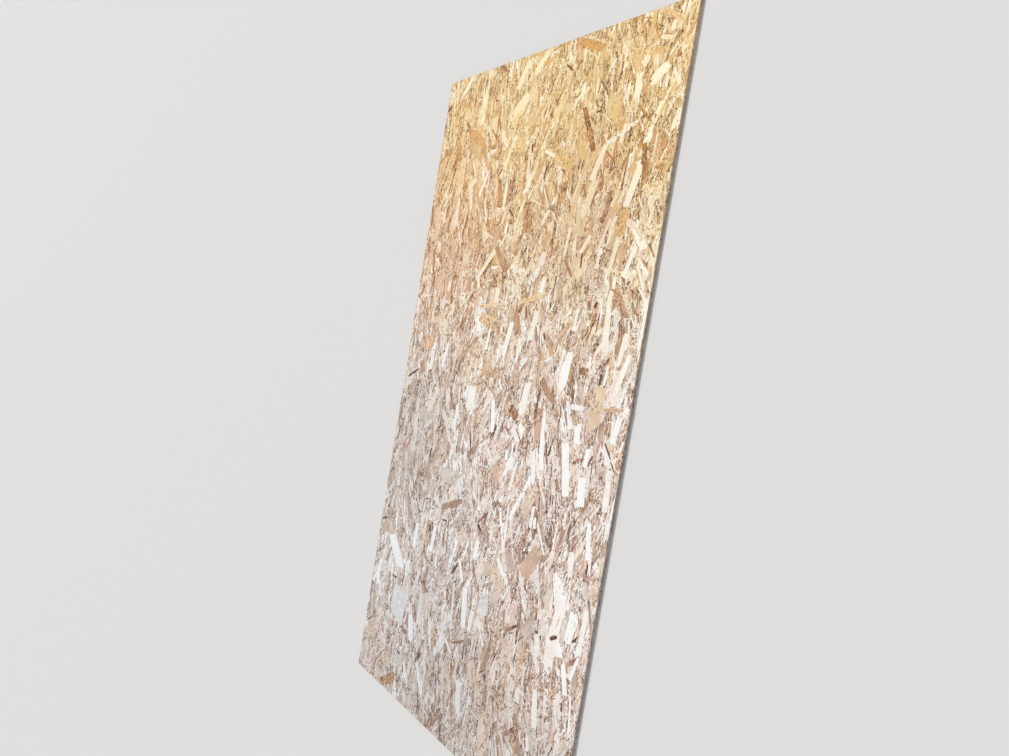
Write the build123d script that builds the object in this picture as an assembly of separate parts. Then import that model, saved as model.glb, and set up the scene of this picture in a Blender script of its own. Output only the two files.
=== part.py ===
"""A 4 by 8 ft sheet of oriented strand board, 7/16 in thick, lying flat with its face side up.

The sheet is pressed from wood strands as one large mat and sawn square to size, so it is a single solid.
Its long side lies along Y, its short side along X, and its thickness along Z. The origin is the middle of
the underside. The saw leaves sharp arrises, which wear to a narrow bevel, and the four corners are the first
thing to be blunted when a sheet is stood on its end.
"""
from build123d import *
import os

INCH = 25.4
FOOT = 12 * INCH

# Driving dimensions, in millimetres
SHEET_WIDTH = 4 * FOOT
SHEET_LENGTH = 8 * FOOT
SHEET_THICKNESS = 7 / 16 * INCH
ARRIS_WEAR = 0.6
CORNER_WEAR_RADIUS = 2.5


def sawn_outline() -> Sketch:
    """The outline that the trim saws leave, with its four corners blunted by handling."""
    return RectangleRounded(SHEET_WIDTH, SHEET_LENGTH, CORNER_WEAR_RADIUS)


def pressed_sheet() -> Part:
    """The sheet: the sawn outline through the full thickness, with the rims of both faces worn to a bevel."""
    blank = extrude(sawn_outline(), amount=SHEET_THICKNESS)
    face_rims = blank.faces().filter_by(Axis.Z).edges()
    return chamfer(face_rims, ARRIS_WEAR)


os.makedirs("parts", exist_ok=True)
sheet = pressed_sheet()
sheet.label = "sheet"
export_step(sheet, "parts/sheet.step")
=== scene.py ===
"""The looks of a 4 by 8 ft sheet of oriented strand board, lying flat with its weathered face up.

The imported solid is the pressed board. This script covers it with the strands that the board is made of:
thousands of thin closed plates, each with its own outline, direction, height and wood colour, on the face, on
the back and on the four sawn edges. The strands that stand out on this sheet are laid one by one.

Lengths are millimetres until a mesh is written, which turns them to metres. On the face, `across` is measured
from the left edge and `up` from the foot edge of the sheet.
"""
from __future__ import annotations

import logging
import math
from dataclasses import dataclass, fields
from enum import Enum

import bpy
import numpy as np
from mathutils import Matrix, Vector

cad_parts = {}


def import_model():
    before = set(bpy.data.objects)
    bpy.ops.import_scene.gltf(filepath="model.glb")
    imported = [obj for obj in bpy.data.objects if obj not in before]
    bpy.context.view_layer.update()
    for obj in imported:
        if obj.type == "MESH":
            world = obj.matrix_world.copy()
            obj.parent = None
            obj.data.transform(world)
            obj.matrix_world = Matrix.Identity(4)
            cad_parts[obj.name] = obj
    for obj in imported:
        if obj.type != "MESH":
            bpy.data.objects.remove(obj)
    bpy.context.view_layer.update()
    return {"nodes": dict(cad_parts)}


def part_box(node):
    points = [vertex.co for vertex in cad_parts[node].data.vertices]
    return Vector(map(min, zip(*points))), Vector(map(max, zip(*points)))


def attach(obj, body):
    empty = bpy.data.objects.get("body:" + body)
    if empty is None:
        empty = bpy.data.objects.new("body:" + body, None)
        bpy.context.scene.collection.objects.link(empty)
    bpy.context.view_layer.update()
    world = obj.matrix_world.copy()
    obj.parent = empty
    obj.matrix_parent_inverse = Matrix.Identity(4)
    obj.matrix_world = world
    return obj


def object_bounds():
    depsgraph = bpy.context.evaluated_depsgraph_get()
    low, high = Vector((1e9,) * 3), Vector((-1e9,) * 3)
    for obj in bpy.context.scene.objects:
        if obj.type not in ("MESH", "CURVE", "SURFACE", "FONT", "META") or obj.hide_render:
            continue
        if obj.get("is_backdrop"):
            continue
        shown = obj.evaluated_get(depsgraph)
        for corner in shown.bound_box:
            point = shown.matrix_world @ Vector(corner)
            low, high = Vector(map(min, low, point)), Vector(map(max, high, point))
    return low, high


log = logging.getLogger("strand_board")

MM = 0.001
BODY = "root"
NODE = "sheet"

HALF_WIDTH = 609.6
HALF_LENGTH = 1219.2

PHOTO_WIDTH_PX = 1009
FOCAL_LENGTH_PX = 693.9
SENSOR_MM = 36.0

Array = np.ndarray
Colour = tuple[float, float, float, float]
Span = tuple[float, float]
Triple = tuple[float, float, float]
Stops = tuple[tuple[float, str], ...]

SMOOTH = {"interpolation_type": "SMOOTHSTEP"}
MULTIPLY = {"operation": "MULTIPLY"}
MULTIPLY_ADD = {"operation": "MULTIPLY_ADD"}
SUBTRACT = {"operation": "SUBTRACT"}
BLEND = {"data_type": "RGBA"}
STAIN = {"data_type": "RGBA", "blend_type": "MULTIPLY"}

WOOD_IOR = 1.5
# between these lie most of a noise's values
NOISE_SPAN = (0.3, 0.7)
BACKDROP = "#dfdedc"


def linear(code: str) -> Colour:
    """Turns an sRGB hex colour to the linear values that a shader socket holds.

    Each channel c is c / 12.92 below 0.04045, and ((c + 0.055) / 1.055) to the power 2.4 above it.

    Args:
        code: a colour such as "#d3bfaf".

    Returns:
        Red, green, blue and an alpha of 1.
    """
    channels = (int(code[i:i + 2], 16) / 255 for i in (1, 3, 5))
    red, green, blue = (c / 12.92 if c <= 0.04045 else ((c + 0.055) / 1.055) ** 2.4 for c in channels)
    return red, green, blue, 1.0


def per_metre(size_mm: float) -> float:
    """Returns the Scale of a noise whose features measure about size_mm."""
    return 1 / (size_mm * MM)


def add(tree: bpy.types.NodeTree, kind: str, settings: dict | None = None, *ordered: object,
        **named: object) -> bpy.types.Node:
    """Adds one node with its settings, and sets or links its inputs.

    An input takes a plain value, an output socket, or a node, whose first output in use is then linked.

    Args:
        tree: the node tree that takes the node.
        kind: the node's type without its ShaderNode prefix, such as "TexNoise".
        settings: the node's own properties, where "stops" gives a colour ramp its positions and hex colours.
        ordered: values for the inputs in use, in the order that the node has them.
        named: values for inputs by name, with an underscore for each space.

    Returns:
        The new node.
    """
    made = tree.nodes.new("ShaderNode" + kind)
    own = dict(settings or {})
    stops = own.pop("stops", ())
    for name, value in own.items():
        setattr(made, name, value)
    for number, (position, code) in enumerate(stops):
        elements = made.color_ramp.elements
        element = elements[number] if number < len(elements) else elements.new(position)
        element.position = position
        element.color = linear(code)
    in_use = [s for s in made.inputs if s.enabled]
    targets = list(zip(in_use, ordered)) + [(made.inputs[k.replace("_", " ")], v) for k, v in named.items()]
    for target, value in targets:
        if isinstance(value, bpy.types.Node):
            value = next(s for s in value.outputs if s.enabled)
        if isinstance(value, bpy.types.NodeSocket):
            tree.links.new(value, target)
        else:
            target.default_value = value
    return made


def empty_material(name: str) -> bpy.types.Material:
    """Makes a material with no nodes in it yet.

    Args:
        name: the material's name.

    Returns:
        The material.
    """
    material = bpy.data.materials.new(name)
    material.use_nodes = True
    material.node_tree.nodes.clear()
    return material


class Wood(Enum):
    """The kinds of wood colour that a strand can have.

    Each is its tone, from about 0 for dark to 1 for pale, its warmth, from -1 for silvery to 1 for amber, and
    its blush, from 0 to 1 for pink.
    """

    WHITE = (0.93, -0.05, 0.0)
    CREAM = (0.80, 0.10, 0.0)
    PUTTY = (0.64, 0.12, 0.1)
    STRAW = (0.56, 0.45, 0.15)
    SILVER = (0.72, -0.65, 0.0)
    SAGE = (0.54, -0.50, 0.05)
    ASH = (0.40, -0.15, 0.1)
    HEART = (0.45, 0.10, 0.9)
    ROSE = (0.31, 0.10, 1.0)
    TAN = (0.45, 0.45, 0.45)
    UMBER = (0.30, 0.35, 0.9)
    AMBER = (0.40, 0.90, 0.4)
    RUSSET = (0.20, 0.40, 1.0)
    BARK = (-0.04, 0.20, 0.9)


ByWood = tuple[tuple[Wood, tuple[tuple[float, ...], ...]], ...]


def taken_apart(groups: ByWood) -> tuple[Array, dict[str, Array]]:
    """Takes a list of strands apart that is grouped by their wood.

    Args:
        groups: each wood with its strands, and each strand as a row of its own numbers.

    Returns:
        All the rows, and the arrays tone, warmth and blush.
    """
    rows = np.array([row for _, group in groups for row in group], dtype=float)
    woods = np.array([wood.value for wood, group in groups for _ in group])
    return rows, dict(zip(("tone", "warmth", "blush"), woods.T))


class Cut(Enum):
    """How a strand ends: the share of its half width left there, how far it is aslant and how ragged."""

    SAWN = (0.97, 0.10, 0.05)
    SLANT = (0.90, 0.60, 0.08)
    TORN = (0.72, 0.30, 0.45)
    SPLIT = (0.10, 0.15, 0.30)


class Outline(Enum):
    """The corners that a strand's outline has, anticlockwise, as shares of its half length and half width."""

    SLIVER = ((-1, -1), (1, -1), (1, 1), (-1, 1))
    PLAIN = ((-1, -1), (-0.62, -1), (0.62, -1), (1, -1), (1, 1), (0.62, 1), (-0.62, 1), (-1, 1))
    SPLINTERED = ((-1, -1), (-0.62, -1), (0.62, -1), (1, -1), (1, -0.35), (1, 0.35), (1, 1),
                  (0.62, 1), (-0.62, 1), (-1, 1), (-1, 0.35), (-1, -0.35))

    @property
    def corners(self) -> int:
        """How many corners the outline has."""
        return len(self.value)


@dataclass(frozen=True)
class WoodTones:
    """Pine and aspen strand wood, each ramp from its darkest tone to its palest."""

    # chalky grey-pink, which the wood takes towards the foot
    grey_pink: Stops = (
        (0.00, "#5e4a3f"), (0.15, "#968476"), (0.30, "#bba99a"), (0.50, "#dcd0c4"),
        (0.70, "#f1e9e1"), (0.85, "#f7f4f0"), (1.00, "#fbf9f7"))
    # honey-coloured, which the wood takes towards the head
    golden: Stops = (
        (0.00, "#724e2b"), (0.15, "#b08f58"), (0.30, "#d2b272"), (0.50, "#eacd90"),
        (0.70, "#f7e1a9"), (0.85, "#fdefc4"), (1.00, "#fff7da"))
    amber_stain: str = "#fadfba"
    silver_stain: str = "#f0f3f4"
    # the pink of heartwood and of inner bark
    blush_stain: str = "#f8dcd3"
    dust_and_shade_stain: str = "#f2f6fb"
    speck_stain: str = "#6f5140"
    # the painted shade in the hairline gaps round the strands
    gap_shade: str = "#46321f"


# The saw cut is end grain, greyer than the face, with a darker painted shade in its gaps
SAWN_TONES = WoodTones(
    grey_pink=((0.00, "#5c5553"), (0.30, "#a59f9e"), (0.55, "#cdc8c7"), (1.00, "#f2efec")),
    golden=((0.00, "#77644b"), (0.30, "#ccb693"), (0.55, "#e9d7b7"), (1.00, "#f8eed8")),
    gap_shade="#332b27")


@dataclass(frozen=True)
class Weathering:
    """One toned patch of the face: its middle, its reach each way and its stain."""

    across: float
    up: float
    reach_across: float
    reach_up: float
    stain: str


WEATHERED = (
    # two redder patches of the upper half, a greyer one on the left, and a darker band along the foot, which
    # is browner in three places
    Weathering(890, 1860, 290, 400, "#f5eee9"),
    Weathering(140, 1800, 440, 520, "#fbf0ef"),
    Weathering(200, 1020, 330, 400, "#eeebe7"),
    Weathering(560, -200, 1100, 1000, "#f2f2f3"),
    Weathering(620, 130, 300, 360, "#f7f4f1"),
    Weathering(900, 330, 290, 330, "#fbf5ef"),
    Weathering(60, 40, 260, 260, "#f9f5f1"),
)


@dataclass(frozen=True)
class StrandFinish:
    """Pressed softwood strands, knife-cut and glued: matt, streaked along the grain, with a speckle of resin.

    The eye gets a bundle of pale and dark streaks along each strand, a pale arris of wear and painted
    highlight, and a dark hairline gap of painted shade round it. One slow change runs over the whole sheet,
    from honey at the head to a grey-pink at the foot, with dust and painted shade thickest at the foot's left
    corner.
    """

    name: str = "pressed_softwood_strands"
    tones: WoodTones = WoodTones()
    streak_mm: float = 5.0
    streak_gain: float = 0.36
    # real fibres are about 0.04 mm wide, so bundles of them are drawn coarse enough to show
    fibre_mm: float = 2.8
    fibre_gain: float = 0.58
    grain_stretch: float = 18.0
    # crumbs of wood that stick where the strands are rough, longer along the sheet than across it
    crumb_mm: float = 4.6
    crumb_stretch: float = 1.8
    crumb_gain: float = 0.80
    clean_crumb_share: float = 0.12
    crumb_relief: float = 0.5
    # the share of the crumbs and specks that a white strand keeps, and the tones where wood turns white
    white_keeps: float = 0.25
    white_tones: Span = (0.60, 0.90)
    patch_mm: float = 48.0
    patch_gain: float = 0.28
    # the values of each noise between which rough places and specks go from none to full
    rough_patch_mm: float = 70.0
    rough_noise: Span = (0.38, 0.58)
    speck_mm: float = 4.6
    speck_noise: Span = (0.62, 0.68)
    # the gap round a strand closes here and there, and closed_gap of its painted shade is left
    gap_mm: float = 14.0
    gap_noise: Span = (0.33, 0.57)
    closed_gap: float = 0.28
    # across the rim, from 0 at the top to 1 at the foot, lie a pale arris of wear and painted highlight,
    # and then the painted shade of the gap
    wear_and_highlight_gain: float = 0.28
    wear_and_highlight_rim: Stops = ((0.0, "#000000"), (0.15, "#ffffff"), (0.42, "#000000"))
    shaded_rim: Span = (0.40, 0.66)
    # a weathered patch is at its full depth within this share of its reach
    full_depth_share: float = 0.3
    drift_mm: float = 170.0
    drift_gain: float = 0.35
    golden_from_m: float = -0.17
    golden_to_m: float = 1.00
    # warm wood keeps its honey colour this much further down the sheet
    warmth_keeps_m: float = 0.35
    # dust with painted shade, thickest towards the foot's left corner
    dust_and_shade_from_m: float = -0.02
    dust_and_shade_to_m: float = -1.06
    dust_and_shade_leftward: float = 1.0
    dust_and_shade_hides_blush: float = 0.4
    relief_mm: float = 0.12
    relief_strength: float = 0.8
    roughness: float = 0.78
    roughness_spread: float = 0.08

    def colour(self, tree: bpy.types.NodeTree, tone: object, warmth: object, blush: object,
               place: bpy.types.NodeSocket) -> bpy.types.Node:
        """Works out the wood's colour for a tone, a warmth and a blush at a place on the sheet.

        The tone picks a colour from the grey-pink and the golden ramp, and the place along the sheet mixes
        the two, with warm wood the more golden. Warmth above 0 stains the result amber, and below 0 silvery.
        Blush stains it pink. The weathered patches fade out at their reach. Dust with painted shade lies
        thickest at the foot's left corner.

        Args:
            tree: the node tree.
            tone: the tone, from 0 to 1.
            warmth: from -1 to 1.
            blush: from 0 to 1.
            place: object coordinates.

        Returns:
            The node whose output is the colour.
        """
        tones = self.tones
        parts = add(tree, "SeparateXYZ", None, place)
        drift = add(tree, "TexNoise", Vector=place, Scale=per_metre(self.drift_mm), Detail=2.0)
        along = add(tree, "Math", MULTIPLY_ADD, drift, self.drift_gain, parts.outputs["Y"])
        along = add(tree, "Math", MULTIPLY_ADD, warmth, self.warmth_keeps_m, along)
        middle = self.drift_gain / 2
        golden_share = add(tree, "MapRange", SMOOTH, along, self.golden_from_m + middle,
                           self.golden_to_m + middle, 0.0, 1.0)
        grey_pink, golden = (add(tree, "ValToRGB", {"stops": stops}, tone)
                            for stops in (tones.grey_pink, tones.golden))
        wood = add(tree, "Mix", BLEND, golden_share, grey_pink, golden)
        amber, silvery = (add(tree, "MapRange", SMOOTH, warmth, 0.0, most, 0.0, 1.0) for most in (1.0, -1.0))
        # dust with painted shade, thickest at the foot's left corner, where it also hides some blush
        footward = add(tree, "Math", MULTIPLY_ADD, parts.outputs["X"], self.dust_and_shade_leftward, parts.outputs["Y"])
        dust_and_shade = add(tree, "MapRange", SMOOTH, footward, self.dust_and_shade_from_m, self.dust_and_shade_to_m, 0.0, 1.0)
        bare = add(tree, "Math", MULTIPLY_ADD, dust_and_shade, -self.dust_and_shade_hides_blush, 1.0)
        stains = [(amber, tones.amber_stain), (silvery, tones.silver_stain),
                  (add(tree, "Math", MULTIPLY, bare, blush), tones.blush_stain)]
        for patch in WEATHERED:
            middle = ((patch.across - HALF_WIDTH) * MM, (patch.up - HALF_LENGTH) * MM, 0.0)
            off = add(tree, "VectorMath", SUBTRACT, place, middle)
            share = add(tree, "VectorMath", {"operation": "DIVIDE"}, off,
                        (patch.reach_across * MM, patch.reach_up * MM, 1.0))
            distance = add(tree, "VectorMath", {"operation": "LENGTH"}, share)
            depth = add(tree, "MapRange", SMOOTH, distance, 1.0, self.full_depth_share, 0.0, 1.0)
            stains.append((depth, patch.stain))
        for depth, stain in (*stains, (dust_and_shade, tones.dust_and_shade_stain)):
            wood = add(tree, "Mix", STAIN, depth, wood, linear(stain))
        return wood

    def build(self) -> bpy.types.Material:
        """Builds the material.

        Returns:
            The material, which reads the attributes tone, warmth, blush, rim and gap and the UV map Grain.
        """
        material = empty_material(self.name)
        tree = material.node_tree
        place = add(tree, "TexCoord").outputs["Object"]
        tone, warmth, blush, rim, gap = (add(tree, "Attribute", {"attribute_name": name}).outputs["Fac"]
                                         for name in ("tone", "warmth", "blush", "rim", "gap"))
        grain = add(tree, "UVMap", {"uv_map": "Grain"})
        along_grain = add(tree, "VectorMath", MULTIPLY, grain, (1 / self.grain_stretch, 1.0, 1.0))
        streaks, fibres = (add(tree, "TexNoise", Vector=along_grain, Scale=per_metre(size), Detail=2.0)
                           for size in (self.streak_mm, self.fibre_mm))
        patches, rough_patches, specks, gaps = (
            add(tree, "TexNoise", Vector=place, Scale=per_metre(size), Detail=1.0)
            for size in (self.patch_mm, self.rough_patch_mm, self.speck_mm, self.gap_mm))
        rough_place = add(tree, "MapRange", SMOOTH, rough_patches, *self.rough_noise,
                          self.clean_crumb_share, 1.0)
        kept = add(tree, "MapRange", SMOOTH, tone, *self.white_tones, 1.0, self.white_keeps)
        rough_share = add(tree, "Math", MULTIPLY, rough_place, kept)
        lengthwise = add(tree, "VectorMath", MULTIPLY, place, (1.0, 1 / self.crumb_stretch, 1.0))
        crumbs = add(tree, "TexVoronoi", Vector=lengthwise, Scale=per_metre(self.crumb_mm)).outputs["Color"]
        crumb_lift = add(tree, "Math", MULTIPLY, add(tree, "Math", SUBTRACT, crumbs, 0.5), rough_share)

        gains = (self.streak_gain, self.fibre_gain, self.patch_gain)
        toned = add(tree, "Math", SUBTRACT, tone, sum(gains) / 2)
        # a pale arris of wear and painted highlight at the top of each strand's rim
        wear_and_highlight = add(tree, "ValToRGB", {"stops": self.wear_and_highlight_rim}, rim)
        for pattern, gain in zip((streaks, fibres, patches, crumb_lift, wear_and_highlight),
                                 (*gains, self.crumb_gain, self.wear_and_highlight_gain)):
            toned = add(tree, "Math", MULTIPLY_ADD, pattern, gain, toned)
        wood = self.colour(tree, toned, warmth, blush, place)

        speck = add(tree, "MapRange", SMOOTH, specks, *self.speck_noise, 0.0, 1.0)
        speck = add(tree, "Math", MULTIPLY, speck, rough_share)
        wood = add(tree, "Mix", STAIN, speck, wood, linear(self.tones.speck_stain))
        # painted shade in the gap round each strand, at the foot of its rim
        open_gap = add(tree, "MapRange", SMOOTH, gaps, *self.gap_noise, self.closed_gap, 1.0)
        rim_shade = add(tree, "MapRange", SMOOTH, rim, *self.shaded_rim, 0.0, 1.0)
        for share in (open_gap, gap):
            rim_shade = add(tree, "Math", MULTIPLY, rim_shade, share)
        wood = add(tree, "Mix", BLEND, rim_shade, wood, linear(self.tones.gap_shade))

        fibrous = add(tree, "Math", {"operation": "ADD"}, streaks, fibres)
        height = add(tree, "Math", MULTIPLY_ADD, crumb_lift, self.crumb_relief, fibrous)
        bump = add(tree, "Bump", Height=height, Strength=self.relief_strength, Distance=self.relief_mm * MM)
        rough = add(tree, "MapRange", SMOOTH, streaks, *NOISE_SPAN, self.roughness - self.roughness_spread,
                    self.roughness + self.roughness_spread)
        shader = add(tree, "BsdfPrincipled", Base_Color=wood, Roughness=rough, Normal=bump, IOR=WOOD_IOR)
        add(tree, "OutputMaterial", Surface=shader)
        return material


@dataclass(frozen=True)
class BoardFinish:
    """The pressed board under its top strands: compacted fines on the faces, and the dark of the saw cut."""

    name: str = "pressed_strand_board_core"
    strand: StrandFinish = StrandFinish()
    # how far a surface's normal has to point up or down for it to count as a face
    flat_normal: Span = (0.3, 0.8)
    fine_mm: float = 7.0
    fine_stretch: float = 5.0
    # the fines are darker than the strands: their own colour, with painted shade where they show between them
    fine_tones: Span = (0.05, 0.62)
    fine_warmth: float = 0.1
    fine_blush: float = 0.4
    layer_mm: float = 0.8
    layer_stretch: float = 26.0
    layer_noise: Span = (0.35, 0.65)
    layer_tones: Span = (0.0, 0.4)
    layer_relief_mm: float = 0.2
    layer_relief_strength: float = 0.6
    roughness: float = 0.85

    def build(self) -> bpy.types.Material:
        """Builds the material.

        Returns:
            The material, on object coordinates alone, for the solid that carries the strands.
        """
        material = empty_material(self.name)
        tree = material.node_tree
        coordinates = add(tree, "TexCoord")
        place = coordinates.outputs["Object"]
        facing = add(tree, "SeparateXYZ", None, coordinates.outputs["Normal"]).outputs["Z"]
        flatness = add(tree, "MapRange", SMOOTH, add(tree, "Math", {"operation": "ABSOLUTE"}, facing),
                       *self.flat_normal, 0.0, 1.0)
        lengthwise = add(tree, "VectorMath", MULTIPLY, place, (1.0, 1 / self.fine_stretch, 1.0))
        fines = add(tree, "TexNoise", Vector=lengthwise, Scale=per_metre(self.fine_mm), Detail=3.0)
        face_tone = add(tree, "MapRange", SMOOTH, fines, *NOISE_SPAN, *self.fine_tones)
        wood = self.strand.colour(tree, face_tone, self.fine_warmth, self.fine_blush, place)
        flat = 1 / self.layer_stretch
        flattened = add(tree, "VectorMath", MULTIPLY, place, (flat, flat, 1.0))
        layers = add(tree, "TexNoise", Vector=flattened, Scale=per_metre(self.layer_mm), Detail=2.0)
        cut_tone = add(tree, "MapRange", SMOOTH, layers, *self.layer_noise, *self.layer_tones)
        cut = add(tree, "ValToRGB", {"stops": SAWN_TONES.grey_pink}, cut_tone)
        wood = add(tree, "Mix", BLEND, flatness, cut, wood)
        bump = add(tree, "Bump", Height=layers, Strength=self.layer_relief_strength,
                   Distance=self.layer_relief_mm * MM)
        shader = add(tree, "BsdfPrincipled", Base_Color=wood, Roughness=self.roughness, Normal=bump,
                     IOR=WOOD_IOR)
        add(tree, "OutputMaterial", Surface=shader)
        return material


@dataclass(frozen=True)
class FloorFinish:
    """Pale matt plaster screed: plain, so that the sheet's own colours stand against it."""

    name: str = "pale_matt_screed"
    roughness: float = 0.9
    specular: float = 0.2

    def build(self) -> bpy.types.Material:
        """Builds the material.

        Returns:
            The material, of one colour all over.
        """
        material = empty_material(self.name)
        tree = material.node_tree
        shader = add(tree, "BsdfPrincipled", Base_Color=linear(BACKDROP), Roughness=self.roughness,
                     Specular_IOR_Level=self.specular)
        add(tree, "OutputMaterial", Surface=shader)
        return material


@dataclass(frozen=True)
class Plane:
    """A flat side of the board that strands lie on.

    Its own coordinates run across and up the side from its middle, and height is measured outwards from it.
    """

    middle: Triple
    across: Triple
    up: Triple
    out: Triple
    half_across: float
    half_up: float

    def place(self, points: Array, height: Array) -> Array:
        """Carries points on the plane into the sheet's frame.

        Each point is the plane's middle, plus its first coordinate along across, its second along up and its
        height along out.

        Args:
            points: shape (..., 2), in mm.
            height: shape (...), in mm.

        Returns:
            Shape (..., 3), in metres.
        """
        axes = np.array([self.across, self.up])
        return (np.array(self.middle) + points @ axes + height[..., None] * np.array(self.out)) * MM

    def trim(self, points: Array, margin: Array) -> Array:
        """Trims points to the side's outline, as the saw trims the strands that cross it.

        Args:
            points: shape (strands, corners, 2), in mm.
            margin: how far inside the outline each strand is cut off, shape (strands,), in mm.

        Returns:
            The points, none of them outside the outline.
        """
        limit = np.array([self.half_across, self.half_up]) - margin[:, None, None]
        return np.clip(points, -limit, limit)


@dataclass(frozen=True)
class Grade:
    """One size grade of strand, as the flaker and the screens leave it. Lengths are in mm.

    Length and width are each a middle value and the spread of its logarithm. Swing is the spread of direction
    about the sheet's length, and stray the share that lies at any angle. Proud is the range of heights at
    which the strands' tops lie above the pressed face, and roll how far their long sides tip up or down. Tone
    is a middle value and its spread, and darkest is where it stops.
    """

    name: str
    count: int
    length: Span
    width: Span
    swing_deg: float
    stray: float
    proud: Span
    tone: Span
    pale_share: float = 0.0
    amber_share: float = 0.0
    darkest: float = 0.0
    clustered: float = 0.0
    roll: float = 0.05
    outline: Outline = Outline.PLAIN


@dataclass(frozen=True)
class Section:
    """A plate's section: how thick it is, and how far its top is drawn in from its foot.

    Chipping is the middle of how far inside the board's outline the trim saw broke the plates off. In mm.
    """

    thickness: float
    bevel: float
    chipping: float = 0.0


FLAKE = Section(0.50, 3.0, chipping=0.45)
END_GRAIN = Section(0.35, 0.14)
SPLINTER = Section(0.90, 0.30)


@dataclass(frozen=True)
class Lie:
    """How the strands of a face lie together: a slow swing of their direction from place to place.

    The swing is a sum of waves over the face, each with its own direction and length, scaled to swing_deg.
    """

    seed: int
    swing_deg: float = 10.0
    waves: int = 7
    wave_mm: Span = (220.0, 620.0)

    def swing(self, centre: Array) -> Array:
        """Works out the swing at some places.

        Args:
            centre: shape (strands, 2), in mm.

        Returns:
            The swing in degrees, shape (strands,).
        """
        rng = np.random.default_rng(self.seed)
        heading = rng.uniform(0, 2 * np.pi, self.waves)
        rate = 2 * np.pi / rng.uniform(*self.wave_mm, self.waves)
        way = np.stack([np.cos(heading), np.sin(heading)]) * rate
        phase = rng.uniform(0, 2 * np.pi, self.waves)
        return self.swing_deg * np.sqrt(2 / self.waves) * np.sin(centre @ way + phase).sum(axis=1)


@dataclass
class Strands:
    """A batch of strands on one plane, with one entry for each strand in every array. Lengths are in mm."""

    centre: Array
    length: Array
    width: Array
    turn: Array
    proud: Array
    roll: Array
    tone: Array
    warmth: Array
    blush: Array
    end_width: Array
    end_slant: Array
    end_ragged: Array
    bow: Array
    lean: Array

    @property
    def count(self) -> int:
        """How many strands the batch holds."""
        return len(self.length)

    def only(self, wanted: Array) -> Strands:
        """Returns the strands that a mask or a list of numbers picks."""
        return Strands(**{field.name: getattr(self, field.name)[wanted] for field in fields(self)})


END_STYLES = np.array([cut.value for cut in Cut])
END_ODDS = (0.40, 0.32, 0.17, 0.11)
# a strand that stands out has kept its clean cuts
NOTED_END_ODDS = (0.58, 0.37, 0.05, 0.0)
CLUSTER_COUNT = 330
CLUSTER_SPREAD = 26.0
PALE_TONES = (0.85, 1.05)
AMBER_TONES = (0.25, 0.62)
AMBER_WARMTH = (0.45, 0.85)
WARMTH_SPREAD = 0.27
# darker wood is the pinker: heartwood, knots and bark
BLUSH = (0.36, 0.30)
BLUSH_OF_DARK = 1.0
# an end keeps this much of the width that its cut leaves
END_KEEPS = (0.85, 1.0)
BOW = 0.10
# how far the corners along a side wander along it, and how far in they may lie
CORNER_WANDER = 0.14
SIDE_KEEPS = (0.88, 1.0)
SQUATTEST = 0.40
# the bevel takes at most this share of a plate's half size
MOST_BEVEL = 0.34
# the saw chips a strand at most this many times as deep as the middle of its chips
DEEPEST_CHIP = 6
# the painted shade in the gap round a narrow strand is less dark than the one round a broad strand
GAP_FULL_WIDTH = 11.0
GAP_LEAST = 0.30
# each strand takes its grain from elsewhere in the noise, at most this many metres away each way
GRAIN_REACH = 3.0
CELL_RIM = 0.06
CELL_ASPECT = 4


def spun(points: Array, turn: Array) -> Array:
    """Turns points about their origin, to x cos - y sin and x sin + y cos.

    Args:
        points: shape (..., 2).
        turn: the angles in radians, one for each point or one for all of a strand's.

    Returns:
        The turned points.
    """
    cos, sin = np.cos(turn), np.sin(turn)
    x, y = points[..., 0], points[..., 1]
    return np.stack([x * cos - y * sin, x * sin + y * cos], axis=-1)


def cut_ends(n: int, rng: np.random.Generator, odds: tuple[float, ...] = END_ODDS,
             lean: float = 0.06) -> dict[str, Array]:
    """Draws how both ends of n strands are cut, how far each strand bows and how far it leans.

    Args:
        n: how many strands.
        rng: the seeded source of random numbers.
        odds: how likely each kind of cut is.
        lean: how far up or down the ends lie at most, in mm.

    Returns:
        The arrays end_width, end_slant, end_ragged, bow and lean.
    """
    style = rng.choice(len(END_STYLES), (n, 2), p=odds)
    return {"end_width": END_STYLES[style, 0] * rng.uniform(*END_KEEPS, (n, 2)),
            "end_slant": END_STYLES[style, 1] * rng.uniform(-1, 1, (n, 2)),
            "end_ragged": END_STYLES[style, 2],
            "bow": rng.normal(0, BOW, n),
            "lean": rng.uniform(-lean, lean, n)}


def drawn_sizes(size: Span, n: int, rng: np.random.Generator) -> Array:
    """Draws n log-normal sizes from their middle value and the spread of its logarithm."""
    return size[0] * np.exp(rng.normal(0, size[1], n))


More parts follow.
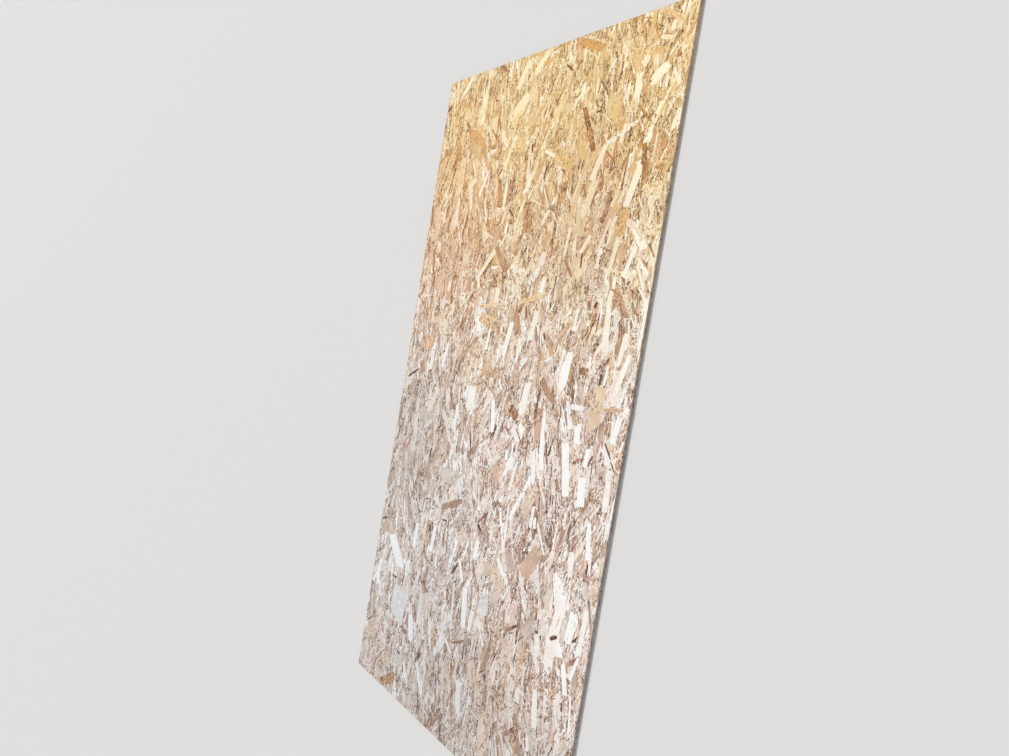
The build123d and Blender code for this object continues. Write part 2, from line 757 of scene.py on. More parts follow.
def draw_strands(grade: Grade, plane: Plane, lie: Lie, rng: np.random.Generator) -> Strands:
    """Draws a batch of random strands of one grade.

    Length and width are log-normal. The direction is normal about the sheet's length and the lie there,
    apart from the stray ones, which take any. Some of the strands gather in clusters, as fines do.

    Args:
        grade: the size grade.
        plane: the side they lie on.
        lie: how they lie together.
        rng: the seeded source of random numbers.

    Returns:
        The batch.
    """
    n = grade.count
    half = np.array([plane.half_across, plane.half_up])
    centre = rng.uniform(-half, half, (n, 2))
    hubs = rng.uniform(-half, half, (CLUSTER_COUNT, 2))
    gathered = hubs[rng.integers(0, CLUSTER_COUNT, n)] + rng.normal(0, CLUSTER_SPREAD, (n, 2))
    in_cluster = rng.random(n) < grade.clustered
    centre = np.clip(np.where(in_cluster[:, None], gathered, centre), -half, half)
    turn = 90 + lie.swing(centre) + rng.normal(0, grade.swing_deg, n)
    strays = rng.random(n) < grade.stray
    turn = np.where(strays, rng.uniform(0, 180, n), turn)
    tone = rng.normal(grade.tone[0], grade.tone[1], n)
    tone = np.where(rng.random(n) < grade.pale_share, rng.uniform(*PALE_TONES, n), tone)
    warmth = rng.normal(0.0, WARMTH_SPREAD, n)
    amber = rng.random(n) < grade.amber_share
    warmth = np.where(amber, rng.uniform(*AMBER_WARMTH, n), warmth)
    tone = np.clip(np.where(amber, rng.uniform(*AMBER_TONES, n), tone), grade.darkest, 1)
    blush = rng.normal(*BLUSH, n) + BLUSH_OF_DARK * (0.5 - tone)
    return Strands(
        centre=centre,
        length=drawn_sizes(grade.length, n, rng),
        width=drawn_sizes(grade.width, n, rng),
        turn=np.radians(turn),
        proud=rng.uniform(*grade.proud, n),
        roll=rng.normal(0, grade.roll, n),
        tone=tone,
        warmth=np.clip(warmth, -1, 1),
        blush=np.clip(blush, 0, 1),
        **cut_ends(n, rng),
    )


def gathered_up(batches: list[Strands]) -> Strands:
    """Joins several batches on one plane into one."""
    return Strands(**{field.name: np.concatenate([getattr(batch, field.name) for batch in batches])
                      for field in fields(Strands)})


@dataclass(frozen=True)
class ShadowAndDustLines:
    """The thin dark lines of dust and bark, with painted shadow, along the lifted sides of strands.

    A line lies on one long side of its strand, which is at half the width from the middle line. Its shift and
    its length are shares of the strand's length, and its turn and height are added to the strand's.
    """

    # the share of the lines on the right of a strand that runs up the side, which is away from the sun
    # and so takes the painted shadow
    on_the_right: float = 0.65
    shift: Span = (-0.22, 0.22)
    length: Span = (0.25, 0.65)
    width: Span = (1.5, 3.0)
    turn: float = 0.03
    proud: Span = (0.02, 0.06)
    tone: Span = (-0.08, 0.12)
    warmth: Span = (0.0, 0.5)
    blush: Span = (0.3, 1.0)

    def along(self, strands: Strands, share: float, rng: np.random.Generator) -> Strands:
        """Draws the lines along some strands.

        Args:
            strands: the batch that they gather along.
            share: the share of its strands that get a line.
            rng: the seeded source of random numbers.

        Returns:
            The batch of lines.
        """
        host = strands.only(rng.random(strands.count) < share)
        n = host.count
        side = np.where(rng.random(n) < self.on_the_right, -1.0, 1.0)
        off = np.stack([rng.uniform(*self.shift, n) * host.length, side * host.width / 2], axis=-1)
        return Strands(
            centre=host.centre + spun(off, host.turn),
            length=host.length * rng.uniform(*self.length, n),
            width=rng.uniform(*self.width, n),
            turn=host.turn + rng.normal(0, self.turn, n),
            proud=host.proud + rng.uniform(*self.proud, n),
            roll=np.zeros(n),
            tone=rng.uniform(*self.tone, n),
            warmth=rng.uniform(*self.warmth, n),
            blush=rng.uniform(*self.blush, n),
            **cut_ends(n, rng),
        )


def outlines(strands: Strands, outline: Outline, rng: np.random.Generator) -> Array:
    """Works out the strands' outlines in their own coordinates, along and across each strand.

    A corner lies at its share of the half length and half width, give or take a little. An end corner keeps
    the share of the width that the cut leaves. It lies further in or out by the cut's slant times its share
    across, and by a random part of the cut's raggedness, both times the strand's width over its length, which
    counts as SQUATTEST at most. The bow then shifts each corner sideways by the bow times one minus its share
    along, squared.

    Args:
        strands: the batch.
        outline: the corners that each outline has.
        rng: the seeded source of random numbers.

    Returns:
        Shape (strands, corners, 2), in mm.
    """
    shape = (strands.count, outline.corners)
    along_share, side_share = np.array(outline.value, dtype=float).T
    end = (along_share > 0).astype(int)
    at_end = np.abs(along_share) == 1
    slenderness = np.minimum(strands.width / strands.length, SQUATTEST)[:, None]
    uneven = strands.end_ragged[:, end] * rng.normal(0, 1, shape) - strands.end_slant[:, end] * side_share
    along = along_share + np.where(at_end, uneven * slenderness, rng.normal(0, CORNER_WANDER, shape))
    side = side_share * rng.uniform(*SIDE_KEEPS, shape) * np.where(at_end, strands.end_width[:, end], 1.0)
    side = side + strands.bow[:, None] * (1 - np.minimum(along ** 2, 1.0))
    return np.stack([along * strands.length[:, None] / 2, side * strands.width[:, None] / 2], axis=-1)


def drawn_in(ring: Array, inset: float) -> Array:
    """Draws outlines in towards their middles, by inset or by MOST_BEVEL of their half size if that is less.

    Args:
        ring: shape (strands, corners, 2), in mm.
        inset: how far, in mm.

    Returns:
        The smaller outlines.
    """
    half = np.abs(ring).max(axis=1, keepdims=True)
    return ring * (1 - np.minimum(inset / half, MOST_BEVEL))


def plate_faces(n: int, corners: int) -> list[list[int]]:
    """Lists the faces of n closed plates, all of them turned outwards.

    A plate has its top ring of corners first and its bottom ring after it. It has one face on top, one below
    and one for each side.

    Args:
        n: how many plates.
        corners: how many corners each ring has.

    Returns:
        All tops, then all bottoms, then all sides, as vertex numbers.
    """
    first = np.arange(n)[:, None] * 2 * corners
    ring = np.arange(corners)[None, :]
    after = (ring + 1) % corners
    tops = first + ring
    bottoms = first + corners + ring[:, ::-1]
    sides = np.stack([first + corners + ring, first + corners + after, first + after, first + ring], axis=-1)
    return tops.tolist() + bottoms.tolist() + sides.reshape(-1, 4).tolist()


def atlas(ring: Array, n: int) -> Array:
    """Lays each strand's outline in a cell of its own in one square map, so that no two share a place.

    The cells form a grid and are CELL_ASPECT times as long as they are high. An outline lies with its length
    along its cell, and fills it up to a rim of CELL_RIM all round.

    Args:
        ring: the top and bottom outlines together, shape (strands, corners, 2).
        n: how many strands.

    Returns:
        Map coordinates, shape (strands, corners, 2).
    """
    columns = math.ceil(math.sqrt(n / CELL_ASPECT))
    rows = math.ceil(n / columns)
    index = np.arange(n)
    cell = np.stack([index % columns, index // columns], axis=-1)[:, None, :]
    low, high = ring.min(axis=1, keepdims=True), ring.max(axis=1, keepdims=True)
    share = (ring - low) / np.maximum(high - low, 1e-6)
    return (cell + CELL_RIM + (1 - 2 * CELL_RIM) * share) / np.array([columns, rows])


def press(name: str, strands: Strands, plane: Plane, outline: Outline, rng: np.random.Generator,
          finish: bpy.types.Material, section: Section = FLAKE, trim_margin: float = 0.3) -> None:
    """Makes one mesh of closed plates from a batch of strands, and dresses it. It rides on the sheet.

    A plate's top lies at its proud height, and is raised or lowered by its lean at its ends and by its roll
    at its sides. Its bottom ring is the full outline, a plate's thickness lower, and its top ring is drawn in
    by the bevel. The rim runs from 0 at the top ring to 1 at the bottom ring, and the gap, how dark the
    painted shade round a strand is, is 1 for a broad strand and less for a narrow one.

    Args:
        name: the piece's name.
        strands: the batch.
        plane: the side they lie on.
        outline: the corners that each strand has.
        rng: the seeded source of random numbers.
        finish: the material.
        section: the plates' section.
        trim_margin: how far inside the side's outline the strands are cut off at least, in mm.
    """
    n, corners = strands.count, outline.corners
    low_ring = outlines(strands, outline, rng)
    rings = np.concatenate([drawn_in(low_ring, section.bevel), low_ring], axis=1)
    chips = np.minimum(rng.exponential(section.chipping, n), DEEPEST_CHIP * section.chipping)
    turned = spun(rings, strands.turn[:, None])
    on_plane = plane.trim(strands.centre[:, None, :] + turned, trim_margin + chips)
    lean = strands.lean[:, None] * 2 * rings[..., 0] / strands.length[:, None]
    tip = strands.roll[:, None] * 2 * rings[..., 1] / strands.width[:, None]
    height = strands.proud[:, None] + lean + tip
    height[:, corners:] -= section.thickness
    points = plane.place(on_plane, height).reshape(-1, 3)

    mesh = bpy.data.meshes.new(name)
    mesh.from_pydata(points, [], plate_faces(n, corners))
    vertex_of_loop = np.empty(len(mesh.loops), dtype=np.int32)
    mesh.loops.foreach_get("vertex_index", vertex_of_loop)

    grain = (rings * MM + rng.uniform(-GRAIN_REACH, GRAIN_REACH, (n, 1, 2))).reshape(-1, 2)
    cells = atlas(rings, n)
    cell_corner = np.repeat(cells.min(axis=1, keepdims=True), corners, axis=1)
    baked = cells.reshape(-1, 2)[vertex_of_loop]
    bottoms = slice(n * corners, 2 * n * corners)
    baked[bottoms] = cell_corner.reshape(-1, 2)
    for map_name, values in (("OFBake", baked), ("Grain", grain[vertex_of_loop])):
        layer = mesh.uv_layers.new(name=map_name)
        layer.data.foreach_set("uv", values.astype(np.float32).ravel())

    gap = np.clip(strands.width / GAP_FULL_WIDTH, GAP_LEAST, 1.0)[:, None]
    for attribute, values in (("tone", strands.tone[:, None]), ("warmth", strands.warmth[:, None]),
                              ("blush", strands.blush[:, None]), ("gap", gap),
                              ("rim", np.repeat([0.0, 1.0], corners))):
        layer = mesh.attributes.new(attribute, "FLOAT", "POINT")
        layer.data.foreach_set("value", np.broadcast_to(values, (n, 2 * corners)).astype(np.float32).ravel())
    mesh.materials.append(finish)
    mesh.update()

    piece = bpy.data.objects.new(name, mesh)
    bpy.context.scene.collection.objects.link(piece)
    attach(piece, BODY)
    triangles = sum(len(p.vertices) - 2 for p in mesh.polygons)
    log.info("%s: %d strands, %d triangles", name, n, triangles)


@dataclass
class NotedStrands:
    """The strands of the face that the eye picks out, laid one by one on top of the rest, the darkest last.

    Each is given by how far across and up the sheet its middle lies, its length, its width and its direction
    in degrees anticlockwise from the foot edge.
    """

    plane: Plane
    seed: int
    proud: Span = (0.42, 0.53)
    roll: float = 0.02
    # where along its length another strand is tried, and how far it keeps from a noted one's ends and sides
    tried_at: tuple[float, ...] = (-0.42, -0.21, 0.0, 0.21, 0.42)
    clearance: Span = (2.0, 1.0)
    laid: ByWood = (
        (Wood.WHITE, (
            (1087, 1920, 130, 30, 75), (846, 1760, 95, 15, 85), (765, 1620, 60, 26, 80),
            (630, 1430, 125, 28, 80), (940, 1357, 120, 33, 85), (1170, 1377, 115, 22, 75),
            (1213, 1510, 140, 16, 88), (1107, 1360, 65, 15, 85), (930, 1750, 70, 22, 60),
            (619, 1158, 115, 25, -78), (1180, 1210, 80, 25, 80), (1087, 1010, 90, 38, -82),
            (1008, 1060, 165, 38, -77), (1012, 845, 110, 9, 88), (1147, 880, 110, 22, -80),
            (635, 485, 140, 34, -80), (682, 187, 115, 32, -75), (1047, 332, 115, 28, -80),
            (1143, 470, 90, 24, -70), (1188, 380, 120, 10, -82), (150, 530, 150, 55, -45),
            (440, 140, 115, 24, -60), (333, 290, 100, 36, -73), (268, 628, 95, 27, 88),
            (385, 650, 100, 26, 88), (402, 1118, 95, 24, 88), (467, 307, 85, 17, -72),
            (580, 325, 60, 17, -40), (338, 1993, 105, 20, 70), (928, 2003, 115, 28, 70),
            (690, 2063, 62, 16, -25), (886, 1125, 190, 24, -80), (1085, 1112, 60, 22, 85),
            (1032, 1175, 62, 30, -85), (724, 1042, 40, 16, -88), (582, 598, 85, 20, -62),
            (786, 683, 60, 20, -50), (742, 440, 90, 13, -52), (648, 695, 70, 26, 86),
            (1122, 1695, 100, 20, 72), (1078, 1632, 42, 17, 86), (944, 1515, 72, 15, 86),
            (605, 1970, 90, 10, 62), (1175, 515, 80, 16, 76), (1118, 2242, 70, 38, 38),
            (175, 1282, 40, 32, 20), (520, 1420, 80, 18, 85), (1012, 2083, 60, 18, 80),
            (749, 1898, 34, 15, 62), (720, 1845, 58, 18, 63), (45, 392, 72, 30, -80),
            (473, 978, 52, 13, -80), (728, 572, 34, 15, -84), (746, 571, 36, 16, -80),
            (340, 127, 62, 17, -62))),
        (Wood.CREAM, (
            (1072, 1575, 70, 18, 86), (1080, 1480, 150, 28, -84), (862, 1035, 100, 26, -76),
            (575, 2400, 110, 30, 48), (488, 2262, 100, 42, 42), (1058, 692, 125, 30, -72),
            (1095, 795, 75, 26, -82), (1184, 625, 140, 22, 88), (750, 1480, 110, 28, 82),
            (512, 1775, 60, 14, 60), (850, 1935, 80, 14, 75), (1024, 1887, 54, 20, 70),
            (1055, 1710, 120, 20, 82), (467, 1038, 66, 14, 88), (432, 1022, 50, 15, 86),
            (72, 352, 62, 12, -68), (805, 2238, 70, 18, 35), (912, 1895, 115, 34, 72),
            (784, 812, 150, 13, -86), (800, 830, 90, 6, -78), (897, 865, 105, 18, 88),
            (680, 455, 80, 25, 88), (1012, 515, 70, 28, -80), (767, 1240, 115, 36, 84),
            (237, 1158, 110, 30, 65), (263, 2290, 120, 28, 88), (268, 2000, 55, 28, 45),
            (480, 1200, 90, 45, -85), (1015, 1250, 58, 20, 2), (1185, 1035, 120, 26, -88),
            (768, 1045, 90, 10, 88), (775, 985, 110, 18, 80), (1152, 1440, 100, 22, 83),
            (1003, 1775, 110, 14, 72), (1033, 1790, 90, 14, 78), (478, 2372, 110, 30, 62),
            (470, 2095, 130, 24, 70), (1148, 2145, 150, 12, 68), (1120, 2344, 50, 16, -15),
            (1153, 2303, 45, 12, 52), (437, 1690, 130, 26, 52), (530, 1570, 70, 24, -88))),
        (Wood.PUTTY, (
            (655, 1640, 150, 28, 58), (853, 580, 120, 18, -85), (925, 625, 130, 16, -62),
            (1163, 1902, 75, 48, 5), (1178, 1785, 80, 34, -8),
            (1025, 590, 80, 48, -80), (935, 265, 90, 32, 45),
            (268, 1125, 105, 22, 75), (177, 2060, 105, 50, 85),
            (350, 2190, 105, 35, -85), (30, 2385, 60, 35, 20), (155, 2298, 50, 10, -35),
            (688, 2180, 90, 40, 75), (447, 978, 45, 34, 20), (366, 145, 62, 26, 85))),
        (Wood.STRAW, (
            (1055, 2318, 135, 28, -10), (1022, 2295, 90, 30, -60), (1122, 2180, 45, 35, 0),
            (967, 2158, 95, 28, 88), (1058, 2385, 100, 22, 88), (1135, 2403, 95, 22, -32),
            (66, 186, 125, 42, 43), (187, 95, 125, 36, 42), (760, 640, 120, 50, -15),
            (720, 1572, 140, 19, 12), (1092, 1260, 130, 60, 88), (1207, 455, 75, 22, 80),
            (1210, 800, 90, 16, 85), (1188, 1152, 62, 24, -22), (873, 925, 110, 42, 72),
            (838, 2080, 120, 44, -75), (495, 1488, 95, 48, -15), (490, 1540, 100, 20, 8),
            (835, 475, 110, 25, -28), (517, 2150, 135, 40, -88), (765, 2030, 110, 58, -25),
            (580, 2185, 120, 18, 70))),
        (Wood.SILVER, (
            (226, 346, 122, 112, 84), (375, 380, 120, 35, -85), (735, 535, 80, 55, -80),
            (968, 698, 75, 24, -72))),
        (Wood.SAGE, (
            (420, 900, 125, 58, 2), (1158, 728, 75, 42, -80), (1112, 612, 110, 26, 86),
            (575, 2330, 55, 30, 80), (1060, 245, 70, 45, -70), (18, 48, 92, 34, 86),
            (300, 148, 60, 42, 80))),
        (Wood.ASH, (
            (508, 757, 95, 20, 50), (1100, 465, 60, 11, -22), (965, 545, 95, 52, 75),
            (451, 1027, 48, 20, 87), (474, 1006, 58, 6, 15), (86, 292, 42, 34, 80),
            (354, 190, 52, 8, 80))),
        (Wood.HEART, (
            (650, 2008, 105, 26, 70), (858, 1160, 130, 36, -87), (964, 620, 90, 22, -68),
            (275, 880, 75, 40, -45), (196, 258, 60, 26, 3), (388, 95, 95, 24, 85))),
        (Wood.ROSE, (
            (520, 1705, 130, 28, -50), (432, 1092, 50, 13, 50),
            (872, 800, 110, 20, 62), (965, 222, 100, 22, 42), (795, 390, 125, 24, 80),
            (662, 1497, 85, 34, -75), (505, 1628, 52, 28, -72), (625, 1850, 115, 48, -80),
            (448, 1950, 120, 26, -73), (987, 2020, 120, 11, 84),
            (984, 2405, 70, 12, 87), (1036, 845, 85, 16, 78), (846, 532, 60, 12, -82),
            (590, 480, 130, 16, 84), (300, 311, 52, 18, 80))),
        (Wood.TAN, (
            (117, 2330, 60, 30, -35), (1209, 735, 50, 14, 80), (245, 2180, 130, 40, -30),
            (1067, 1812, 80, 42, 75), (842, 1430, 80, 25, -55), (925, 745, 120, 55, 60),
            (190, 2145, 120, 12, 28), (568, 1302, 112, 34, -3), (1008, 1215, 50, 18, -38),
            (1155, 1267, 82, 15, 8), (686, 966, 65, 42, -76), (1115, 418, 45, 24, 45),
            (603, 2390, 50, 26, 10))),
        (Wood.UMBER, (
            (868, 1283, 95, 28, -42), (465, 805, 135, 28, 25), (125, 1275, 60, 35, -70),
            (218, 1990, 45, 22, 80), (560, 1257, 125, 7, -28), (712, 1125, 45, 13, -35),
            (880, 512, 60, 15, 33))),
        (Wood.AMBER, ((810, 2398, 125, 32, -24), (230, 42, 115, 38, 36))),
        (Wood.RUSSET, (
            (860, 2118, 172, 26, -64), (872, 1675, 75, 13, -50), (1015, 1362, 40, 28, 0),
            (725, 1190, 60, 36, -35), (1050, 1094, 52, 11, 32), (655, 810, 70, 12, 45),
            (180, 2225, 75, 16, -55), (365, 2168, 85, 11, -45), (380, 2208, 65, 10, -62),
            (632, 362, 75, 12, 28), (1115, 1985, 120, 23, -79), (972, 2020, 60, 10, -42),
            (1085, 2132, 75, 9, -46), (1198, 1728, 52, 8, -58), (985, 1005, 42, 16, -60),
            (1095, 1602, 60, 6, -28), (517, 1958, 100, 10, 82), (747, 1428, 20, 12, 80),
            (1046, 1970, 130, 9, 88), (705, 1525, 45, 15, -76), (770, 1117, 62, 9, -50),
            (513, 1258, 42, 9, 35), (298, 261, 34, 18, 5))),
        (Wood.BARK, (
            (928, 1112, 62, 9, 80), (925, 1700, 52, 10, -86), (592, 2092, 34, 10, -80),
            (166, 432, 38, 9, -4), (281, 169, 26, 9, -8),
            (815, 1453, 28, 11, -60), (1088, 1347, 38, 13, 85), (834, 1245, 80, 9, 86),
            (645, 772, 30, 14, -40), (418, 215, 35, 18, 80), (65, 1245, 86, 11, 29),
            (720, 2344, 45, 8, -38), (900, 2245, 60, 8, -48), (892, 2170, 25, 7, 0),
            (1041, 2076, 52, 11, -88), (929, 2337, 25, 8, -70), (1116, 2393, 22, 8, -70),
            (1162, 1148, 55, 7, -52), (1188, 1110, 35, 6, -55), (1161, 800, 42, 7, -87),
            (1076, 565, 36, 14, 33), (28, 630, 48, 8, 22), (545, 592, 55, 12, 56),
            (354, 683, 32, 17, 88), (515, 1052, 68, 8, -72), (15, 2330, 35, 18, 30),
            (1101, 1105, 38, 9, 72), (641, 1110, 45, 10, 82), (440, 738, 30, 8, 8),
            (533, 1872, 42, 10, -45), (900, 527, 26, 13, 35), (1158, 592, 24, 9, 50))),
    )

    def strands(self) -> Strands:
        """Turns the list to a batch of strands on the face.

        Returns:
            The batch, in the order of the list.
        """
        rng = np.random.default_rng(self.seed)
        rows, shades = taken_apart(self.laid)
        n = len(rows)
        return Strands(
            centre=rows[:, :2] - (self.plane.half_across, self.plane.half_up),
            length=rows[:, 2],
            width=rows[:, 3],
            turn=np.radians(rows[:, 4]),
            proud=np.linspace(*self.proud, n),
            roll=rng.normal(0, self.roll, n),
            **shades,
            **cut_ends(n, rng, NOTED_END_ODDS, lean=0.01),
        )

    def clears(self, noted: Strands, others: Strands) -> Array:
        """Says which of some other strands lie clear of the noted ones.

        A strand is tried at its middle and at two places towards each end. Such a point, turned into a noted
        strand's own coordinates, lies over it where it is nearer than half the length along and half the
        width across, each with the clearance added.

        Args:
            noted: the noted strands.
            others: the strands that might hide them.

        Returns:
            True for each strand that may stay.
        """
        clear = np.ones(others.count, dtype=bool)
        heading = np.stack([np.cos(others.turn), np.sin(others.turn)], axis=-1)
        reach = np.stack([noted.length, noted.width], axis=-1) / 2 + self.clearance
        for share in self.tried_at:
            point = others.centre + share * others.length[:, None] * heading
            apart = spun(point[:, None, :] - noted.centre, -noted.turn)
            clear &= ~(np.abs(apart) < reach).all(axis=-1).any(axis=1)
        return clear


@dataclass
class StrandMat:
    """The strands of one face of the board, laid grade by grade from the deepest up.

    The topmost grades keep clear of the noted strands, so that those stay in sight.
    """

    prefix: str
    plane: Plane
    grades: tuple[Grade, ...]
    seed: int
    shadow_line_share: float
    noted: NotedStrands | None = None
    noted_shadow_line_share: float = 0.8
    # strands that lie higher than this, in mm, could hide a noted one
    covering_height: float = 0.34
    # lines of dust and bark, with painted shadow, along the strands' lifted sides
    dust_and_shade: ShadowAndDustLines = ShadowAndDustLines()

    def build(self, finish: bpy.types.Material) -> None:
        """Lays a piece for each grade, then one of the noted strands and one of all the lines of dust and
        painted shadow.

        Args:
            finish: the strands' material.
        """
        marked = self.noted.strands() if self.noted else None
        lie = Lie(self.seed)
        shadow_lines = []
        for number, grade in enumerate(self.grades):
            rng = np.random.default_rng(self.seed + number)
            strands = draw_strands(grade, self.plane, lie, rng)
            if marked:
                covers = strands.proud > self.covering_height
                strands = strands.only(~covers | self.noted.clears(marked, strands))
            press(f"{self.prefix}_{grade.name}", strands, self.plane, grade.outline, rng, finish)
            if grade.outline is not Outline.SLIVER:
                shadow_lines.append(self.dust_and_shade.along(strands, self.shadow_line_share, rng))
        rng = np.random.default_rng(self.seed + len(self.grades))
        if marked:
            press(f"{self.prefix}_noted_strands", marked, self.plane, Outline.SPLINTERED, rng, finish)
            shadow_lines = [batch.only(self.noted.clears(marked, batch)) for batch in shadow_lines]
            shadow_lines.append(self.dust_and_shade.along(marked, self.noted_shadow_line_share, rng))
        press(f"{self.prefix}_dust_lines", gathered_up(shadow_lines), self.plane, Outline.SLIVER, rng, finish)


FACE_GRADES = (
    Grade("broad_strands", 3150, (96, 0.30), (23, 0.38), 16, 0.12, (0.04, 0.35), (0.52, 0.16),
          pale_share=0.09, amber_share=0.01, darkest=0.26, outline=Outline.SPLINTERED),
    Grade("long_strands", 3150, (76, 0.38), (11, 0.42), 15, 0.10, (0.08, 0.36), (0.52, 0.22),
          pale_share=0.17, amber_share=0.01, darkest=0.16, outline=Outline.SPLINTERED),
    Grade("short_strands", 2400, (34, 0.40), (7.6, 0.42), 26, 0.20, (0.14, 0.37), (0.49, 0.27),
          pale_share=0.16, amber_share=0.01, darkest=0.10, clustered=0.25),
    Grade("slivers", 5600, (48, 0.45), (4.8, 0.35), 14, 0.09, (0.16, 0.38), (0.47, 0.46),
          pale_share=0.30, darkest=0.08, outline=Outline.SLIVER),
    Grade("fines", 7600, (13, 0.45), (4.3, 0.35), 36, 0.35, (0.22, 0.39), (0.44, 0.50),
          pale_share=0.22, clustered=0.50, outline=Outline.SLIVER),
    Grade("bark_flecks", 6000, (9.5, 0.45), (3.6, 0.30), 45, 0.40, (0.27, 0.41), (0.02, 0.10),
          clustered=0.50, outline=Outline.SLIVER),
)
BACK_GRADES = (
    Grade("broad_strands", 2600, (88, 0.28), (24, 0.40), 19, 0.12, (0.01, 0.10), (0.50, 0.16),
          pale_share=0.04, amber_share=0.06),
    Grade("long_strands", 2800, (66, 0.35), (12, 0.45), 20, 0.12, (0.06, 0.16), (0.52, 0.20),
          pale_share=0.08, amber_share=0.08),
)


@dataclass
class SawnEdge:
    """One sawn edge: the ends and sides of the strands in its layers, as the trim saw cut them.

    In the outer layers the strands run along the sheet, and in the core across it. So a long edge shows long
    sides in its outer layers and short ends in its core, and a short edge the other way round.
    """

    name: str
    plane: Plane
    outer_runs_along: bool
    seed: int
    per_mm: float = 0.95
    core_half: float = 3.1
    core_spread: float = 0.35
    # the strands' middles stay this far from the rims, in mm
    rim_margin: float = 0.5
    trim_margin: float = 0.35
    sides_length: Span = (44.0, 0.45)
    ends_length: Span = (14.0, 0.40)
    ply: Span = (0.80, 0.25)
    swing_deg: float = 1.1
    roll: float = 0.02
    lean: float = 0.03
    tone: Span = (0.50, 0.24)
    warmth: float = 0.1
    proud: Span = (0.02, 0.20)
    # the few strands that the saw frayed instead of cutting
    frayed_share: float = 0.03
    frayed_by: float = 0.45
    frayed_length: float = 0.3

    def strands(self, rng: np.random.Generator) -> Strands:
        """Draws the cut strands of all the layers.

        Args:
            rng: the seeded source of random numbers.

        Returns:
            The batch.
        """
        n = round(2 * self.plane.half_across * self.per_mm)
        depth = rng.uniform(-1, 1, n) * (self.plane.half_up - self.rim_margin)
        outer = np.abs(depth) > self.core_half + rng.normal(0, self.core_spread, n)
        in_line = outer == self.outer_runs_along
        long_side, short_end = (drawn_sizes(size, n, rng) for size in (self.sides_length, self.ends_length))
        along = rng.uniform(-1, 1, n) * self.plane.half_across
        frayed = rng.random(n) < self.frayed_share
        return Strands(
            centre=np.stack([along, depth], axis=-1),
            length=np.where(in_line, long_side, short_end) * np.where(frayed, self.frayed_length, 1.0),
            width=drawn_sizes(self.ply, n, rng),
            turn=np.radians(rng.normal(0, self.swing_deg, n)),
            proud=rng.uniform(*self.proud, n) + frayed * rng.exponential(self.frayed_by, n),
            roll=rng.normal(0, self.roll, n),
            tone=np.clip(rng.normal(*self.tone, n), 0, 1),
            warmth=np.clip(rng.normal(self.warmth, WARMTH_SPREAD, n), -1, 1),
            blush=np.clip(rng.normal(*BLUSH, n), 0, 1),
            **cut_ends(n, rng, lean=self.lean),
        )

    def build(self, finish: bpy.types.Material) -> None:
        """Lays the edge's strands, in the sawn strands' material."""
        rng = np.random.default_rng(self.seed)
        press(self.name, self.strands(rng), self.plane, Outline.SLIVER, rng, finish, END_GRAIN,
              self.trim_margin)


@dataclass
class TornSplinters:
    """The splinters that stand off the right edge, where knocks have torn them up.

    Each is given by how far up the sheet its middle lies, how far above the middle of the thickness, its
    length and width, how far its middle stands out, and by how much more its head end does.
    """

    name: str
    plane: Plane
    seed: int
    torn: ByWood = (
        (Wood.ASH, ((1256, 3.0, 42, 3.4, 1.5, 1.2), (1252, 0.4, 30, 2.4, 0.8, 0.4))),
        (Wood.WHITE, ((1891, 4.0, 7, 2.2, 1.6, 0.2), (2290, 4.2, 9, 2.2, 1.5, -0.4))),
        (Wood.BARK, ((1864, 3.6, 12, 2.4, 1.3, 0.8), (2281, 4.3, 7, 1.8, 0.5, 0.0),
                     (1230, 3.4, 22, 1.6, 0.4, 0.0))),
    )

    def build(self, finish: bpy.types.Material) -> None:
        """Lays the splinters.

        Args:
            finish: the sawn strands' material.
        """
        rng = np.random.default_rng(self.seed)
        rows, shades = taken_apart(self.torn)
        n = len(rows)
        splinters = Strands(
            centre=np.stack([rows[:, 0] - self.plane.half_across, rows[:, 1]], axis=-1),
            length=rows[:, 2],
            width=rows[:, 3],
            turn=np.zeros(n),
            proud=rows[:, 4],
            roll=np.zeros(n),
            **shades,
            **(cut_ends(n, rng) | {"lean": rows[:, 5]}),
        )
        press(self.name, splinters, self.plane, Outline.PLAIN, rng, finish, section=SPLINTER)


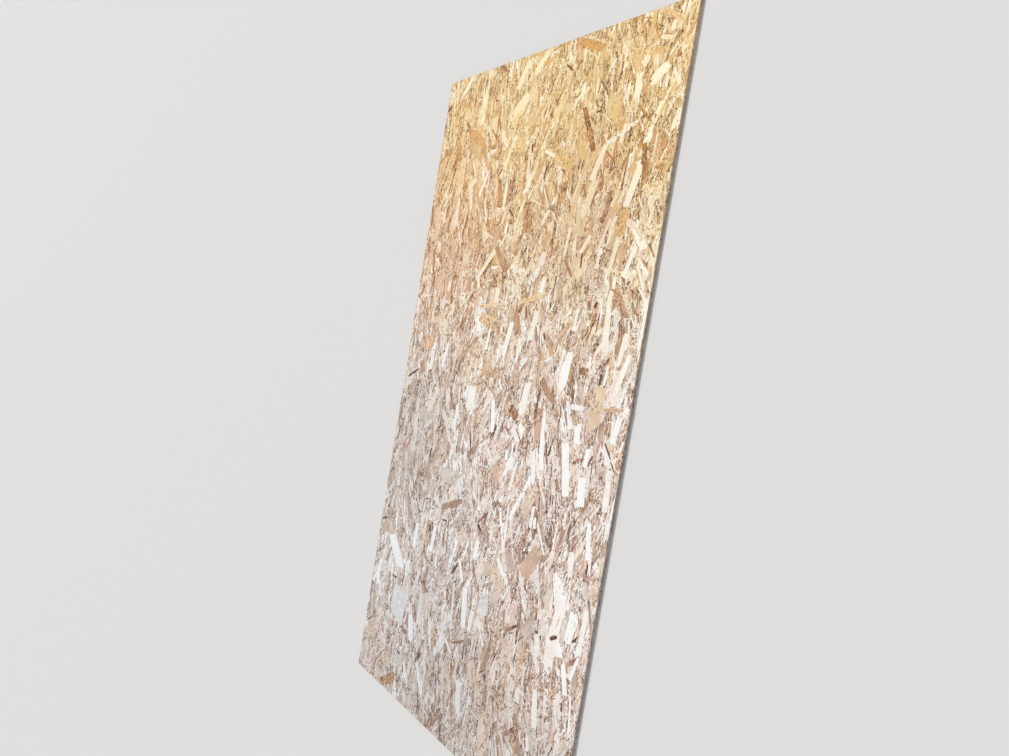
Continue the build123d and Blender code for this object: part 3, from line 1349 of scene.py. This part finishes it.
@dataclass
class Studio:
    """The floor, the lamps and the camera."""

    floor_half_m: float = 400.0
    # where the photographer stood and looked, carried over to the sheet lying down
    camera_at: Triple = (1.8791, 0.1437, 1.5126)
    camera_aim: Triple = (0.0377, 0.0762, 0.0111)
    picture_up: Triple = (-0.1253, 0.9861, 0.1093)
    sky_strength: float = 0.50
    sun_from: Triple = (-0.55, 0.42, 0.72)
    sun_strength: float = 2.20
    sun_angle_deg: float = 10.0

    def floor(self, level: float) -> None:
        """Lays the floor.

        Args:
            level: its height, the lowest point of the dressed sheet, in metres.
        """
        half = self.floor_half_m
        corners = np.array([(-1, -1, 0), (1, -1, 0), (1, 1, 0), (-1, 1, 0)]) * half + (0, 0, level)
        mesh = bpy.data.meshes.new("floor")
        mesh.from_pydata(corners, [], [[0, 1, 2, 3]])
        mesh.materials.append(FloorFinish().build())
        floor = bpy.data.objects.new("floor", mesh)
        bpy.context.scene.collection.objects.link(floor)
        floor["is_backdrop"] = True

    def sky(self) -> None:
        """Fills the world with an even light, and shows the camera and glossy rays a pale backdrop."""
        world = bpy.data.worlds.new("studio")
        bpy.context.scene.world = world
        world.use_nodes = True
        tree = world.node_tree
        tree.nodes.clear()
        path = add(tree, "LightPath")
        light = add(tree, "Background", Color=linear("#ffffff"), Strength=self.sky_strength)
        shown = add(tree, "Background", Color=linear(BACKDROP), Strength=1.0)
        seen = path.outputs["Is Camera Ray"]
        for ray in ("Is Glossy Ray", "Is Transmission Ray"):
            seen = add(tree, "Math", {"operation": "MAXIMUM"}, seen, path.outputs[ray])
        add(tree, "OutputWorld", Surface=add(tree, "MixShader", None, seen, light, shown))

    def sun(self) -> None:
        """Hangs the one broad soft lamp."""
        lamp = bpy.data.lights.new("key", "SUN")
        lamp.energy = self.sun_strength
        lamp.angle = math.radians(self.sun_angle_deg)
        key = bpy.data.objects.new("key", lamp)
        key.rotation_euler = Vector(self.sun_from).to_track_quat("Z", "Y").to_euler()
        bpy.context.scene.collection.objects.link(key)

    def camera(self) -> None:
        """Sets the camera up, with the photograph's angle of view."""
        data = bpy.data.cameras.new("camera")
        data.sensor_width = SENSOR_MM
        data.lens = FOCAL_LENGTH_PX / PHOTO_WIDTH_PX * SENSOR_MM
        data.clip_end = 2 * self.floor_half_m
        back = (Vector(self.camera_at) - Vector(self.camera_aim)).normalized()
        right = Vector(self.picture_up).cross(back).normalized()
        up = back.cross(right)
        turned = Matrix((right, up, back)).transposed().to_4x4()
        camera = bpy.data.objects.new("camera", data)
        camera.matrix_world = Matrix.Translation(self.camera_at) @ turned
        bpy.context.scene.collection.objects.link(camera)
        bpy.context.scene.camera = camera

    def build(self, level: float) -> None:
        """Builds the whole studio.

        Args:
            level: the floor's height, in metres.
        """
        self.camera()
        self.sky()
        self.sun()
        self.floor(level)
        bpy.context.scene.view_settings.view_transform = "Standard"


# which way each side's own coordinates run in the sheet's frame: across it, up it and out of it
SIDES = {
    "face": ((1, 0, 0), (0, 1, 0), (0, 0, 1)),
    "back": ((-1, 0, 0), (0, 1, 0), (0, 0, -1)),
    "right": ((0, 1, 0), (0, 0, 1), (1, 0, 0)),
    "left": ((0, -1, 0), (0, 0, 1), (-1, 0, 0)),
    "head": ((-1, 0, 0), (0, 0, 1), (0, 1, 0)),
    "foot": ((1, 0, 0), (0, 0, 1), (0, -1, 0)),
}
LONG_EDGES = ("right", "left")


def board_sides() -> dict[str, Plane]:
    """Finds the six sides of the board's box.

    A side's middle lies half the box's size from the box's own middle, along the side's outward direction.

    Returns:
        Each side's plane by its name, in mm.
    """
    low, high = (np.array(corner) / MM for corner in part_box(NODE))
    middle, half = (low + high) / 2, (high - low) / 2
    return {name: Plane(tuple(middle + half * out), across, up, out, abs(half @ across), abs(half @ up))
            for name, (across, up, out) in SIDES.items()}


def main() -> None:
    """Builds the dressed sheet and the studio, in order."""
    logging.basicConfig(level=logging.INFO, format="%(name)s: %(message)s")
    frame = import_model()
    sides = board_sides()

    board = frame["nodes"][NODE]
    board.data.materials.clear()
    board.data.materials.append(BoardFinish().build())
    log.info("board dressed")
    strand_wood = StrandFinish().build()
    noted = NotedStrands(sides["face"], seed=51)
    StrandMat("face", sides["face"], FACE_GRADES, seed=11, shadow_line_share=0.42, noted=noted).build(strand_wood)
    StrandMat("back", sides["back"], BACK_GRADES, seed=31, shadow_line_share=0.15).build(strand_wood)

    sawn_wood = StrandFinish(name="sawn_strand_edges", tones=SAWN_TONES, streak_mm=3.0, patch_mm=90.0).build()
    for seed, name in enumerate(("right", "left", "head", "foot"), start=61):
        SawnEdge(f"{name}_edge_strands", sides[name], name in LONG_EDGES, seed).build(sawn_wood)
    TornSplinters("right_edge_splinters", sides["right"], seed=71).build(sawn_wood)

    dressed_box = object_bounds()
    Studio().build(level=float(dressed_box[0][2]))


if __name__ == "__main__":
    main()
